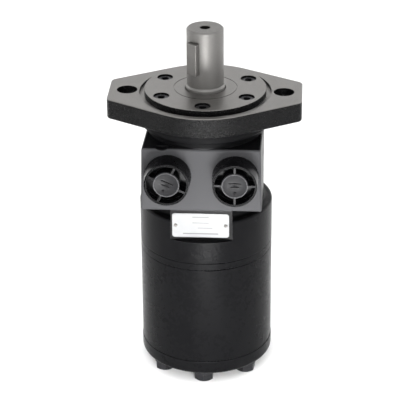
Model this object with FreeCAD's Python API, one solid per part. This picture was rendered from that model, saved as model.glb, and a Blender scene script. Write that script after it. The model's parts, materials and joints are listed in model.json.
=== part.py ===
"""Orbit hydraulic motor with a two-bolt flange: every piece of it, in place.

Millimetres. The origin is the centre of the mounting face, on the shaft's axis.
+Z points towards the shaft's free end, +X along the flange's long axis, and the ports face -Y.
The front of the motor is its flange end and the rear is its end cover.
"""
import FreeCAD, Part
import math
import os

V = FreeCAD.Vector
UP = V(0, 0, 1)

# ---- Levels along the shaft's axis -------------------------------------------------------------
SHAFT_TIP = 45.8
PILOT_TOP = 2.8
FLANGE_BACK = -14.0
COLLAR_BACK = -20.0
BLOCK_TOP = -25.5
BLOCK_BOTTOM = -70.6
SHOULDER = -78.3
PLATE_FLAT_END = -92.7
HOUSING_BACK = -108.7
SPACER_BACK = -113.9
RING_BACK = -186.3
COVER_BACK = -196.6

# ---- Mounting flange ---------------------------------------------------------------------------
PILOT_R = 41.275
RELIEF_R = 44.85
RELIEF_DEPTH = 2.0
FLANGE_HALF_LENGTH = 65.6
FLANGE_ROUND_R = 49.0
FLANGE_SIDE_SLOPE_DEG = 31.0
FLANGE_CORNER_R = 5.0
MOUNT_HOLE_SPACING = 106.4
MOUNT_HOLE_R = 7.0
FLANGE_EDGE_CHAMFER = 0.4
FLANGE_BACK_ROUNDING = 1.2
PILOT_EDGE_ROUNDING = 0.35
FACE_RING_R = 21.6
FACE_RING_WIDTH = 0.5
FACE_RING_DEPTH = 0.3
SCREW_CIRCLE_R = 33.0
SCREW_COUNT = 6
FIRST_SCREW_DEG = -90.0
SCREW_R = 3.0
SCREW_HEAD_R = 4.95
SCREW_HEAD_HEIGHT = 6.0
SCREW_HEAD_SINK = 1.0
SCREW_SOCKET_AF = 5.0
SCREW_SOCKET_DEPTH = 3.2
SCREW_COUNTERBORE_R = 5.4
SCREW_TIP = -27.0
SCREW_PLAY = 0.3
SCREW_TAP_PLAY = 0.05
SOCKET_TURN_FACTOR = 1.7

# ---- Shaft, key and spool ----------------------------------------------------------------------
SHAFT_R = 12.5
SHAFT_CHAMFER = 1.0
SEAL_LAND_R = 13.6
LAND_TOP = 4.6
LAND_RAMP = 1.2
KEY_WIDTH = 8.0
KEY_HEIGHT = 7.0
KEY_TOP_R = 15.5
KEY_DIRECTION_DEG = -124.0
KEY_LOW = 16.1
KEY_HIGH = 38.1
KEY_END_GAP = 0.25
KEYWAY_LOW = KEY_LOW - KEY_END_GAP
KEYWAY_HIGH = KEY_HIGH + KEY_END_GAP
END_THREAD_R = 3.4
END_THREAD_DEPTH = 18.0
END_THREAD_MOUTH_R = 3.9
SPOOL_R = 17.47
SPOOL_FRONT = -15.0
SPOOL_BACK = -104.0
SPOOL_BORE_R = 17.5

# ---- Valve ports and passages ------------------------------------------------------------------
FRONT_GROOVE_Z = -38.0
REAR_GROOVE_Z = -54.0
TIMING_Z = -46.0
GROOVE_R = 20.5
GROOVE_HALF_WIDTH = 3.2
SLOT_COUNT = 6
SLOT_WIDTH = 3.5
SLOT_FLOOR_R = 15.4
PASSAGE_CIRCLE_R = 27.0
PASSAGE_R = 2.4
TIMING_R = 1.8

# ---- Housing -----------------------------------------------------------------------------------
COLLAR_R = 45.0
NECK_R = 40.0
BODY_R = 45.94
SEAM_ROUNDING = 0.5
BLOCK_MIDDLE_X = -0.9
BLOCK_HALF_TOP = 39.8
BLOCK_HALF_BOTTOM = 40.9
BLOCK_CORNER_R = 1.4
BLOCK_EDGE_ROUNDING = 1.3
PORT_FACE_Y = -41.0
PLATE_FLAT_Y = -40.2
PAD_MIDDLE_X = -0.9
PAD_HALF_WIDTH = 21.0
PORT_MIDDLE_X = -0.5
PORT_HALF_SPACING = 22.7
PORT_Z = -45.3
PORT_R = 10.35
PORT_DEPTH = 17.0
PORT_SEAT_R = 11.9
PORT_SEAT_DEPTH = 2.5
CHANNEL_R = 3.2
CHANNEL_START_X = 21.0
CHANNEL_END_X = 9.0
CHANNEL_REACH = 9.0
BLOCK_DIP_X = -27.0
BLOCK_DIP_R = 8.0
BLOCK_DIP_DEPTH = 1.2

# ---- Bearing and seals -------------------------------------------------------------------------
RACE_R = 22.6
BEARING_BORE_R = 24.0
RACE_THICKNESS = 1.5
NEEDLE_R = 0.98
NEEDLE_COUNT = 24
NEEDLE_INNER_R = 16.2
NEEDLE_OUTER_R = 21.8
NEEDLE_PLAY = 0.05
CAGE_THICKNESS = 1.2
BEARING_TOP = -10.0
SEAL_BORE_R = 20.5
DUST_SEAL_R = 19.0
DUST_SEAL_TOP = 1.0
SEAL_WASHER_TOP = -1.6
SEAL_WASHER_BACK = -2.6
SHAFT_SEAL_BACK = -9.0
SEAL_LIP_GAP = 0.05
FLANGE_O_RING_INNER_R = 38.0
FLANGE_O_RING_OUTER_R = 40.0

# ---- Check valves ------------------------------------------------------------------------------
CHECK_X = 16.0
CHECK_Y = -26.0
CHECK_BORE_R = 3.0
CHECK_DRILL_R = 1.5
CHECK_SEAT_Z = -20.0
BALL_R = 2.5
BALL_SEAT_GAP = 0.03

# ---- Roller gear set ---------------------------------------------------------------------------
ROLLER_COUNT = 7
LOBE_COUNT = ROLLER_COUNT - 1
ROLLER_CIRCLE_R = 29.0
ROLLER_R = 6.0
ECCENTRICITY = 3.0
FIRST_ROLLER_DEG = -90.0 + 180.0 / ROLLER_COUNT
POCKET_CLEARANCE = 0.04
MESH_CLEARANCE = 0.05
END_CLEARANCE = 0.05
RING_R = 45.9
RING_BORE_R = 29.3
POINTS_PER_LOBE = 24

# ---- Drive link --------------------------------------------------------------------------------
SPLINE_TEETH = 12
SPLINE_MINOR_R = 9.3
SPLINE_MAJOR_R = 11.2
SPLINE_GAP_WIDTH = 2.9
LINK_CORE_R = 8.8
LINK_TIP_R = 10.8
LINK_TOOTH_WIDTH = 2.2
LINK_NECK_R = 7.0
LINK_HEAD_HALF = 5.5
LINK_FRONT_Z = -66.0
LINK_REAR_Z = -158.0
SHAFT_SPLINE_FRONT = -58.0
SHAFT_SPLINE_BACK = -74.0
SHAFT_HOLLOW_FRONT = -55.0
SHAFT_HOLLOW_R = 11.6
DRIVE_SPACER_R = 9.0
DRIVE_SPACER_FRONT = -167.2

# ---- Rear fasteners and seals ------------------------------------------------------------------
BOLT_COUNT = 7
BOLT_CIRCLE_R = 36.5
FIRST_BOLT_DEG = -90.0
BOLT_R = 3.95
BOLT_HOLE_R = 4.25
BOLT_TAP_R = 4.0
BOLT_TIP = -95.5
BOLT_HEAD_AF = 12.7
BOLT_HEAD_HEIGHT = 5.5
WASHER_R = 7.4
WASHER_THICKNESS = 2.0
COVER_R = 46.2
COVER_ROUNDING = 3.0
SPACER_BORE_R = 12.0
O_RING_INNER_R = 41.9
O_RING_OUTER_R = 43.9
O_RING_DEPTH = 1.4

# ---- Name plate and port plugs -----------------------------------------------------------------
PLATE_LENGTH = 38.6
PLATE_HEIGHT = 17.8
PLATE_THICKNESS = 0.5
PLATE_CORNER_R = 1.8
PLATE_MIDDLE_X = -1.4
PLATE_Z = -81.8
RIVET_X = 17.0
RIVET_R = 1.3
RIVET_DEPTH = 2.5
RIVET_SHANK_R = 0.8
RIVET_DOME = 0.6
PLUG_BASE_R = 15.8
PLUG_FRONT_R = 14.9
PLUG_HEIGHT = 14.0
PLUG_WALL = 1.3
PLUG_FLOOR = 5.0
PLUG_HUB_R = 8.8
PLUG_HUB_SINK = 1.6
PLUG_RIB = 1.4
PLUG_RIB_SINK = 0.6
PLUG_RIB_COUNT = 4
PLUG_GAP = 0.02
PLUG_SPIGOT_R = 10.3
PLUG_SPIGOT_LENGTH = 2.2
PLUG_TURN_DEG = {"left": 25.0, "right": 0.0}


# ---- Helpers -----------------------------------------------------------------------------------
def cylinder(radius, low, high, x=0.0, y=0.0):
    """A solid cylinder along Z, from low to high."""
    return Part.makeCylinder(radius, high - low, V(x, y, low))


def ring(inner, outer, low, high):
    """A flat ring about the main axis."""
    return cylinder(outer, low, high).cut(cylinder(inner, low, high))


def along_y(radius, x, z, front, back):
    """A cylinder along Y, from front (the lower y) to back."""
    return Part.makeCylinder(radius, back - front, V(x, front, z), V(0, 1, 0))


def box(x0, x1, y0, y1, z0, z1):
    return Part.makeBox(x1 - x0, y1 - y0, z1 - z0, V(x0, y0, z0))


def spots(radius, count, first_deg):
    """Evenly spaced (x, y, angle) places on a circle about the main axis."""
    angles = [first_deg + 360.0 * i / count for i in range(count)]
    return [(radius * math.cos(math.radians(a)), radius * math.sin(math.radians(a)), a) for a in angles]


def turned(shape, degrees):
    """A copy of the shape turned about the main axis."""
    copy = shape.copy()
    copy.rotate(V(0, 0, 0), UP, degrees)
    return copy


def rounded_wire(corners, place):
    """A closed outline through (a, b, radius) corners; place turns (a, b) into a point in space."""
    flat = [V(a, b, 0) for a, b, _ in corners]
    starts, ends, middles = [], [], []
    for i, (_, _, radius) in enumerate(corners):
        here = flat[i]
        back = (flat[i - 1] - here).normalize()
        ahead = (flat[(i + 1) % len(flat)] - here).normalize()
        half = back.getAngle(ahead) / 2.0
        reach = radius / math.tan(half)
        starts.append(here + back * reach)
        ends.append(here + ahead * reach)
        inward = (back + ahead).normalize()
        middles.append(here + inward * (radius / math.sin(half) - radius))
    edges = []
    for i, (_, _, radius) in enumerate(corners):
        if radius > 0:
            arc = [place(p.x, p.y) for p in (starts[i], middles[i], ends[i])]
            edges.append(Part.Arc(*arc).toShape())
        start, end = ends[i], starts[(i + 1) % len(corners)]
        if (end - start).Length > 1e-6:
            edges.append(Part.makeLine(place(start.x, start.y), place(end.x, end.y)))
    return Part.Wire(edges)


def lathe(corners):
    """A solid of revolution about Z through (radius, z, rounding) corners."""
    wire = rounded_wire(corners, lambda r, z: V(r, 0, z))
    return Part.Face(wire).revolve(V(0, 0, 0), UP, 360)


def slab(corners, low, high):
    """A plate along Z whose outline runs through (x, y, rounding) corners."""
    wire = rounded_wire(corners, lambda x, y: V(x, y, low))
    return Part.Face(wire).extrude(V(0, 0, high - low))


def edges_at_level(shape, z):
    """The edges that lie flat at a level."""
    return [e for e in shape.Edges if max(abs(e.BoundBox.ZMin - z), abs(e.BoundBox.ZMax - z)) < 0.01]


def hexagon(across_flats, low, high, x, y, corner_deg):
    """A hexagonal prism with one corner in the given direction."""
    radius = across_flats / math.sqrt(3.0)
    turns = [math.radians(corner_deg + 60.0 * i) for i in range(7)]
    outline = Part.makePolygon([V(x + radius * math.cos(t), y + radius * math.sin(t), low) for t in turns])
    return Part.Face(outline).extrude(V(0, 0, high - low))


def spline_teeth(inner, outer, width, low, high):
    """Straight-sided teeth standing out from the main axis."""
    tooth = box(inner, outer, -width / 2.0, width / 2.0, low, high)
    return [turned(tooth, 360.0 * i / SPLINE_TEETH) for i in range(SPLINE_TEETH)]


def spline_hole(low, high):
    """The space inside a female spline."""
    gaps = spline_teeth(SPLINE_MINOR_R - 2.0, SPLINE_MAJOR_R, SPLINE_GAP_WIDTH, low, high)
    return cylinder(SPLINE_MINOR_R, low, high).fuse(gaps)


def eccentric(shape):
    """A shape moved from the main axis onto the star's axis."""
    copy = shape.copy()
    angle = math.radians(FIRST_ROLLER_DEG)
    copy.translate(V(ECCENTRICITY * math.cos(angle), ECCENTRICITY * math.sin(angle), 0))
    return copy


def o_ring_groove(low, high):
    return ring(O_RING_INNER_R, O_RING_OUTER_R, low, high)


def bolt_spots():
    return spots(BOLT_CIRCLE_R, BOLT_COUNT, FIRST_BOLT_DEG)


def passage_spots():
    """One place in each gap between two rollers."""
    return spots(PASSAGE_CIRCLE_R, BOLT_COUNT, FIRST_BOLT_DEG)


def roller_spots():
    return spots(ROLLER_CIRCLE_R, ROLLER_COUNT, FIRST_ROLLER_DEG)


def screw_spots():
    return spots(SCREW_CIRCLE_R, SCREW_COUNT, FIRST_SCREW_DEG)


def body_bolt_holes(radius, low, high):
    return [cylinder(radius, low, high, x, y) for x, y, _ in bolt_spots()]


def passages(low, high):
    """The seven axial oil passages."""
    return [cylinder(PASSAGE_R, low, high, x, y) for x, y, _ in passage_spots()]


# ---- Front end ---------------------------------------------------------------------------------
def flange_outline():
    """Corners of the lozenge with its round middle."""
    slope = math.radians(FLANGE_SIDE_SLOPE_DEG)
    end = FLANGE_HALF_LENGTH
    apex = FLANGE_ROUND_R / math.cos(slope)
    side = apex - end * math.tan(slope)
    corner = FLANGE_CORNER_R
    return [(end, -side, corner), (end, side, corner), (0, apex, FLANGE_ROUND_R),
            (-end, side, corner), (-end, -side, corner), (0, -apex, FLANGE_ROUND_R)]


def mounting_flange():
    """A plate with the pilot standing on it, screw counterbores, seal bores and a relief round the pilot."""
    plate = slab(flange_outline(), FLANGE_BACK, 0.0)
    plate = plate.makeChamfer(FLANGE_EDGE_CHAMFER, edges_at_level(plate, 0.0))
    plate = plate.makeFillet(FLANGE_BACK_ROUNDING, edges_at_level(plate, FLANGE_BACK))
    plate = plate.cut(ring(PILOT_R, RELIEF_R, -RELIEF_DEPTH, 0.0))
    pilot = lathe([(0, -RELIEF_DEPTH, 0), (PILOT_R, -RELIEF_DEPTH, 0),
                   (PILOT_R, PILOT_TOP, PILOT_EDGE_ROUNDING), (0, PILOT_TOP, 0)])
    plate = plate.fuse(pilot)
    cuts = [
        cylinder(SEAL_LAND_R + 0.4, DUST_SEAL_TOP, PILOT_TOP),
        cylinder(DUST_SEAL_R, SEAL_WASHER_BACK, DUST_SEAL_TOP),
        cylinder(SEAL_BORE_R, BEARING_TOP, SEAL_WASHER_BACK),
        cylinder(BEARING_BORE_R, FLANGE_BACK, BEARING_TOP),
        ring(FACE_RING_R - FACE_RING_WIDTH, FACE_RING_R, PILOT_TOP - FACE_RING_DEPTH, PILOT_TOP),
    ]
    for side in (-1, 1):
        x = side * MOUNT_HOLE_SPACING / 2.0
        cuts.append(cylinder(MOUNT_HOLE_R, FLANGE_BACK, 0.0, x, 0.0))
    seat = PILOT_TOP - SCREW_HEAD_SINK - SCREW_HEAD_HEIGHT
    for x, y, _ in screw_spots():
        cuts.append(cylinder(SCREW_COUNTERBORE_R, seat, PILOT_TOP, x, y))
        cuts.append(cylinder(SCREW_R + SCREW_PLAY, FLANGE_BACK, seat, x, y))
    return plate.cut(cuts).removeSplitter()


def flange_screws():
    """Six socket-head screws, as separate solids, each stopped at an angle of its own."""
    head_top = PILOT_TOP - SCREW_HEAD_SINK
    seat = head_top - SCREW_HEAD_HEIGHT
    shank_r = SCREW_R - SCREW_TAP_PLAY
    profile = [(0, SCREW_TIP, 0), (shank_r - 0.6, SCREW_TIP, 0), (shank_r, SCREW_TIP + 0.6, 0),
               (shank_r, seat, 0), (SCREW_HEAD_R, seat, 0), (SCREW_HEAD_R, head_top, 0.6), (0, head_top, 0)]
    blank = lathe(profile)
    screws = []
    for x, y, angle in screw_spots():
        screw = blank.copy()
        screw.translate(V(x, y, 0))
        stop_deg = angle * SOCKET_TURN_FACTOR
        socket = hexagon(SCREW_SOCKET_AF, head_top - SCREW_SOCKET_DEPTH, head_top, x, y, stop_deg)
        screws.append(screw.cut(socket))
    return Part.makeCompound(screws)


def dust_seal():
    """Wiper whose lip leans out through the flange's mouth, against the shaft."""
    lip = SEAL_LAND_R + SEAL_LIP_GAP
    return lathe([(lip, SEAL_WASHER_TOP, 0), (DUST_SEAL_R, SEAL_WASHER_TOP, 0),
                  (DUST_SEAL_R, DUST_SEAL_TOP, 0.3), (lip + 0.3, DUST_SEAL_TOP, 0),
                  (lip + 0.25, DUST_SEAL_TOP + 1.1, 0), (lip, DUST_SEAL_TOP + 0.9, 0)])


def seal_washer():
    return ring(SEAL_LAND_R + 0.3, DUST_SEAL_R, SEAL_WASHER_BACK, SEAL_WASHER_TOP)


def shaft_seal():
    """Pressure seal: a sleeve with a lip on its inside that opens towards the oil."""
    lip = SEAL_LAND_R + SEAL_LIP_GAP
    top, back = SEAL_WASHER_BACK - 0.1, SHAFT_SEAL_BACK
    return lathe([(lip, back + 3.8, 0), (lip + 1.2, top - 0.9, 0), (lip + 1.2, top, 0),
                  (SEAL_BORE_R, top, 0.3), (SEAL_BORE_R, back, 0.3), (lip + 3.5, back, 0.3),
                  (lip + 3.5, back + 4.0, 0.3), (lip + 1.6, back + 1.6, 0), (lip, back + 2.8, 0)])


def flange_o_ring():
    """The static seal between flange and housing; it fills its groove in the housing's front face."""
    return ring(FLANGE_O_RING_INNER_R, FLANGE_O_RING_OUTER_R, FLANGE_BACK - O_RING_DEPTH, FLANGE_BACK)


def bearing_race_front():
    return ring(SEAL_LAND_R + 0.6, RACE_R, BEARING_TOP - RACE_THICKNESS, BEARING_TOP)


def bearing_race_rear():
    return ring(SEAL_LAND_R, RACE_R, SPOOL_FRONT, SPOOL_FRONT + RACE_THICKNESS)


def bearing_middle():
    return (BEARING_TOP + SPOOL_FRONT) / 2.0


def bearing_cage():
    middle = bearing_middle()
    low, high = middle - CAGE_THICKNESS / 2.0, middle + CAGE_THICKNESS / 2.0
    half = NEEDLE_R + NEEDLE_PLAY
    window = box(NEEDLE_INNER_R - 0.1, NEEDLE_OUTER_R + 0.1, -half, half, low, high)
    windows = [turned(window, 360.0 * i / NEEDLE_COUNT) for i in range(NEEDLE_COUNT)]
    return ring(SEAL_LAND_R + 0.3, RACE_R, low, high).cut(windows)


def bearing_needles():
    """Separate needles lying along the radii, between the two races."""
    length = NEEDLE_OUTER_R - NEEDLE_INNER_R
    needle = Part.makeCylinder(NEEDLE_R, length, V(NEEDLE_INNER_R, 0, bearing_middle()), V(1, 0, 0))
    return Part.makeCompound([turned(needle, 360.0 * i / NEEDLE_COUNT) for i in range(NEEDLE_COUNT)])


# ---- Shaft and drive ---------------------------------------------------------------------------
def key_prism(low, high, top_r):
    """The key's section, from the keyway's floor out to top_r, facing the key's direction."""
    floor_r = KEY_TOP_R - KEY_HEIGHT
    return turned(box(floor_r, top_r, -KEY_WIDTH / 2.0, KEY_WIDTH / 2.0, low, high), KEY_DIRECTION_DEG)


def output_shaft():
    """Keyed shaft in one piece with the hollow spool valve."""
    body = lathe([
        (0, SPOOL_BACK, 0), (SPOOL_R, SPOOL_BACK, 0.4), (SPOOL_R, SPOOL_FRONT, 0.2),
        (SEAL_LAND_R, SPOOL_FRONT, 0),
        (SEAL_LAND_R, LAND_TOP, 0.3), (SHAFT_R, LAND_TOP + LAND_RAMP, 0),
        (SHAFT_R, SHAFT_TIP - SHAFT_CHAMFER, 0), (SHAFT_R - SHAFT_CHAMFER, SHAFT_TIP, 0), (0, SHAFT_TIP, 0)])
    mouth = END_THREAD_MOUTH_R - END_THREAD_R
    cuts = [
        key_prism(KEYWAY_LOW, KEYWAY_HIGH, KEY_TOP_R),
        cylinder(END_THREAD_R, SHAFT_TIP - END_THREAD_DEPTH, SHAFT_TIP),
        Part.makeCone(END_THREAD_R, END_THREAD_MOUTH_R, mouth, V(0, 0, SHAFT_TIP - mouth)),
        cylinder(SHAFT_HOLLOW_R, SPOOL_BACK, SHAFT_SPLINE_BACK),
        spline_hole(SHAFT_SPLINE_BACK, SHAFT_SPLINE_FRONT),
        cylinder(SPLINE_MINOR_R, SHAFT_SPLINE_FRONT, SHAFT_HOLLOW_FRONT),
    ]
    half = SLOT_WIDTH / 2.0
    overlap = TIMING_R * 0.8
    outside = SPOOL_R + 1.0
    front_end = FRONT_GROOVE_Z + GROOVE_HALF_WIDTH
    rear_end = REAR_GROOVE_Z - GROOVE_HALF_WIDTH
    front_slot = box(SLOT_FLOOR_R, outside, -half, half, TIMING_Z - overlap, front_end)
    rear_slot = box(SLOT_FLOOR_R, outside, -half, half, rear_end, TIMING_Z + overlap)
    step = 360.0 / SLOT_COUNT
    cuts += [turned(front_slot, step * i) for i in range(SLOT_COUNT)]
    cuts += [turned(rear_slot, step * (i + 0.5)) for i in range(SLOT_COUNT)]
    return body.cut(cuts)


def shaft_key():
    """The parallel key, with its outer edges broken."""
    key = key_prism(KEY_LOW, KEY_HIGH, KEY_TOP_R)
    direction = math.radians(KEY_DIRECTION_DEG)
    out = V(math.cos(direction), math.sin(direction), 0)
    outer = [e for e in key.Edges if all(v.Point.dot(out) > KEY_TOP_R - 0.01 for v in e.Vertexes)]
    return key.makeChamfer(0.3, outer)


def link_head(middle):
    """A crowned spline head: a barrel with straight-sided teeth on it."""
    low, high = middle - LINK_HEAD_HALF, middle + LINK_HEAD_HALF
    core = cylinder(LINK_CORE_R, low, high)
    toothed = core.fuse(spline_teeth(LINK_CORE_R - 2.0, LINK_TIP_R + 1.0, LINK_TOOTH_WIDTH, low, high))
    crown = lathe([(0, low, 0), (LINK_TIP_R - 0.9, low, 0), (LINK_TIP_R, low + 3.5, 0),
                   (LINK_TIP_R, high - 3.5, 0), (LINK_TIP_R - 0.9, high, 0), (0, high, 0)])
    return toothed.common(crown)


def link_tilt_deg():
    return math.degrees(math.asin(ECCENTRICITY / (LINK_FRONT_Z - LINK_REAR_Z)))


def drive_link():
    """Splined link from the shaft's hollow to the star, leaning out to the star's axis."""
    rear_tip = LINK_REAR_Z - LINK_HEAD_HALF - 3.0
    neck = lathe([(0, rear_tip, 0), (LINK_NECK_R - 2.0, rear_tip, 0), (LINK_NECK_R, rear_tip + 2.0, 0),
                  (LINK_NECK_R, LINK_FRONT_Z + LINK_HEAD_HALF + 2.0, 1.0),
                  (0, LINK_FRONT_Z + LINK_HEAD_HALF + 2.0, 0)])
    link = neck.fuse([link_head(LINK_FRONT_Z), link_head(LINK_REAR_Z)])
    across = V(-math.sin(math.radians(FIRST_ROLLER_DEG)), math.cos(math.radians(FIRST_ROLLER_DEG)), 0)
    link.rotate(V(0, 0, LINK_FRONT_Z), across, -link_tilt_deg())
    return link


def drive_spacer():
    return eccentric(cylinder(DRIVE_SPACER_R, RING_BACK + 0.1, DRIVE_SPACER_FRONT))


# ---- Housing -----------------------------------------------------------------------------------
def housing_casting():
    """The outside of the housing: collar, neck, port block, pad and round rear flange."""
    trunk = lathe([
        (0, HOUSING_BACK, 0), (BODY_R, HOUSING_BACK, SEAM_ROUNDING), (BODY_R, SHOULDER, 1.6),
        (NECK_R, SHOULDER, 2.5), (NECK_R, COLLAR_BACK, 3.0), (COLLAR_R, COLLAR_BACK, 1.2),
        (COLLAR_R, FLANGE_BACK, 0.4),
        (0, FLANGE_BACK, 0)])
    left, right = PAD_MIDDLE_X - PAD_HALF_WIDTH, PAD_MIDDLE_X + PAD_HALF_WIDTH
    trunk = trunk.cut(box(left, right, -BODY_R - 1, PLATE_FLAT_Y, PLATE_FLAT_END, SHOULDER + 3))
    pad = box(left, right, PLATE_FLAT_Y, 0, SHOULDER - 3, BLOCK_BOTTOM + 1)
    return trunk.fuse(pad).fuse(port_block())


def block_outline(half, z):
    """The block's outline at a level: its sides lean in to meet the neck."""
    back_x, back_y = NECK_R - 0.4, 2.0
    left, right = BLOCK_MIDDLE_X - half, BLOCK_MIDDLE_X + half
    corners = [(-back_x, back_y, 0), (left, PORT_FACE_Y, BLOCK_CORNER_R),
               (right, PORT_FACE_Y, BLOCK_CORNER_R), (back_x, back_y, 0)]
    return rounded_wire(corners, lambda x, y: V(x, y, z))


def port_block():
    """A block a little wider at its foot, rounded at its front, with one shallow dip in its top edge."""
    outlines = [block_outline(BLOCK_HALF_BOTTOM, BLOCK_BOTTOM), block_outline(BLOCK_HALF_TOP, BLOCK_TOP)]
    block = Part.makeLoft(outlines, True, True)
    front = [e for e in block.Edges
             if abs(e.CenterOfMass.y - PORT_FACE_Y) < 0.01 and e.BoundBox.ZLength < 0.01]
    block = block.makeFillet(BLOCK_EDGE_ROUNDING, front)
    dip_z = BLOCK_TOP + BLOCK_DIP_R - BLOCK_DIP_DEPTH
    return block.cut(along_y(BLOCK_DIP_R, BLOCK_DIP_X, dip_z, PORT_FACE_Y - 1, PORT_FACE_Y + 6))


def port_x(side):
    return PORT_MIDDLE_X + side * PORT_HALF_SPACING


def port_cavity(side):
    """Threaded port with its seal seat, and the slanting channel to its groove round the spool."""
    x = port_x(side)
    floor_y = PORT_FACE_Y + PORT_DEPTH
    bore = along_y(PORT_R, x, PORT_Z, PORT_FACE_Y, floor_y)
    seat = Part.makeCone(PORT_SEAT_R, PORT_R, PORT_SEAT_DEPTH, V(x, PORT_FACE_Y, PORT_Z), V(0, 1, 0))
    groove_z = FRONT_GROOVE_Z if side < 0 else REAR_GROOVE_Z
    start = V(side * CHANNEL_START_X, floor_y - 2.0, PORT_Z + (groove_z - PORT_Z) * 0.6)
    end = V(side * CHANNEL_END_X, floor_y + CHANNEL_REACH, groove_z)
    channel = Part.makeCylinder(CHANNEL_R, (end - start).Length, start, end - start)
    return [bore, seat, channel]


def check_cavity(side):
    """Bore, conical seat and drilling of one check valve, and its drain slot to the bearing recess."""
    x = side * CHECK_X
    drop = CHECK_BORE_R - CHECK_DRILL_R
    return [
        cylinder(CHECK_BORE_R, CHECK_SEAT_Z, FLANGE_BACK, x, CHECK_Y),
        Part.makeCone(CHECK_DRILL_R, CHECK_BORE_R, drop, V(x, CHECK_Y, CHECK_SEAT_Z - drop)),
        cylinder(CHECK_DRILL_R, PORT_Z + PORT_R - 5.0, CHECK_SEAT_Z - drop, x, CHECK_Y),
        box(x - 1.0, x + 1.0, CHECK_Y, CHECK_Y + 10.0, FLANGE_BACK - 1.5, FLANGE_BACK),
    ]


def housing():
    grooves = [ring(SPOOL_BORE_R - 1, GROOVE_R, z - GROOVE_HALF_WIDTH, z + GROOVE_HALF_WIDTH)
               for z in (FRONT_GROOVE_Z, REAR_GROOVE_Z)]
    timing = [Part.makeCylinder(TIMING_R, PASSAGE_CIRCLE_R, V(0, 0, TIMING_Z), V(x, y, 0))
              for x, y, _ in passage_spots()]
    cuts = [
        cylinder(SPOOL_BORE_R, HOUSING_BACK, FLANGE_BACK),
        cylinder(BEARING_BORE_R, SPOOL_FRONT - 0.5, FLANGE_BACK),
        flange_o_ring(),
        o_ring_groove(HOUSING_BACK, HOUSING_BACK + O_RING_DEPTH),
    ]
    cuts += grooves + timing + passages(HOUSING_BACK, TIMING_Z)
    cuts += body_bolt_holes(BOLT_TAP_R, HOUSING_BACK, BOLT_TIP + 1.5)
    cuts += [cylinder(SCREW_R, SCREW_TIP - 2.0, FLANGE_BACK, x, y)
             for x, y, _ in screw_spots()]
    rivet_end = PLATE_FLAT_Y + RIVET_DEPTH
    for side in (-1, 1):
        cuts += port_cavity(side) + check_cavity(side)
        cuts.append(along_y(RIVET_SHANK_R, rivet_x(side), PLATE_Z, PLATE_FLAT_Y, rivet_end))
    return housing_casting().cut(cuts)


def check_ball(side):
    """A ball resting on its conical seat with a hair of clearance."""
    drop = CHECK_BORE_R - CHECK_DRILL_R
    cone_tip = CHECK_SEAT_Z - drop - CHECK_DRILL_R
    centre_z = cone_tip + BALL_R * math.sqrt(2.0) + BALL_SEAT_GAP
    return Part.makeSphere(BALL_R, V(side * CHECK_X, CHECK_Y, centre_z))


def o_ring(low):
    return o_ring_groove(low, low + O_RING_DEPTH)


# ---- Roller gear set ---------------------------------------------------------------------------
def spacer_plate():
    plate = lathe([(0, SPACER_BACK, 0), (RING_R, SPACER_BACK, SEAM_ROUNDING),
                   (RING_R, HOUSING_BACK, SEAM_ROUNDING), (0, HOUSING_BACK, 0)])
    cuts = body_bolt_holes(BOLT_HOLE_R, SPACER_BACK, HOUSING_BACK) + passages(SPACER_BACK, HOUSING_BACK)
    return plate.cut(cuts + [cylinder(SPACER_BORE_R, SPACER_BACK, HOUSING_BACK)])


def geroler_ring():
    pockets = [cylinder(ROLLER_R + POCKET_CLEARANCE, RING_BACK, SPACER_BACK, x, y)
               for x, y, _ in roller_spots()]
    body = lathe([(RING_BORE_R, RING_BACK, 0), (RING_R, RING_BACK, SEAM_ROUNDING),
                  (RING_R, SPACER_BACK, SEAM_ROUNDING), (RING_BORE_R, SPACER_BACK, 0)])
    cuts = pockets + body_bolt_holes(BOLT_HOLE_R, RING_BACK, SPACER_BACK)
    return body.cut(cuts + [o_ring_groove(SPACER_BACK - O_RING_DEPTH, SPACER_BACK)])


def rollers():
    """The seven rollers, each a node of its own."""
    return [cylinder(ROLLER_R, RING_BACK + END_CLEARANCE, SPACER_BACK - END_CLEARANCE, x, y)
            for x, y, _ in roller_spots()]


def star_point(turn):
    """A point of the star's outline: the rollers' path round the star, drawn in by a roller's radius."""
    inset = ROLLER_R + MESH_CLEARANCE
    fast = ROLLER_COUNT * turn
    x = ROLLER_CIRCLE_R * math.cos(turn) - ECCENTRICITY * math.cos(fast)
    y = ROLLER_CIRCLE_R * math.sin(turn) - ECCENTRICITY * math.sin(fast)
    dx = -ROLLER_CIRCLE_R * math.sin(turn) + ECCENTRICITY * ROLLER_COUNT * math.sin(fast)
    dy = ROLLER_CIRCLE_R * math.cos(turn) - ECCENTRICITY * ROLLER_COUNT * math.cos(fast)
    speed = math.hypot(dx, dy)
    return V(x - inset * dy / speed, y + inset * dx / speed, RING_BACK + END_CLEARANCE)


def geroler_star():
    count = LOBE_COUNT * POINTS_PER_LOBE
    outline = Part.BSplineCurve()
    points = [star_point(2.0 * math.pi * i / count) for i in range(count)]
    outline.interpolate(Points=points, PeriodicFlag=True)
    length = SPACER_BACK - RING_BACK - 2.0 * END_CLEARANCE
    body = Part.Face(Part.Wire(outline.toShape())).extrude(V(0, 0, length))
    return eccentric(turned(body, FIRST_ROLLER_DEG).cut(spline_hole(RING_BACK, SPACER_BACK)))


# ---- Rear end ----------------------------------------------------------------------------------
def end_cover():
    body = lathe([(0, COVER_BACK, 0), (COVER_R, COVER_BACK, COVER_ROUNDING),
                  (COVER_R, RING_BACK, SEAM_ROUNDING), (0, RING_BACK, 0)])
    cuts = body_bolt_holes(BOLT_HOLE_R, COVER_BACK, RING_BACK)
    return body.cut(cuts + [o_ring_groove(RING_BACK - O_RING_DEPTH, RING_BACK)])


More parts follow.
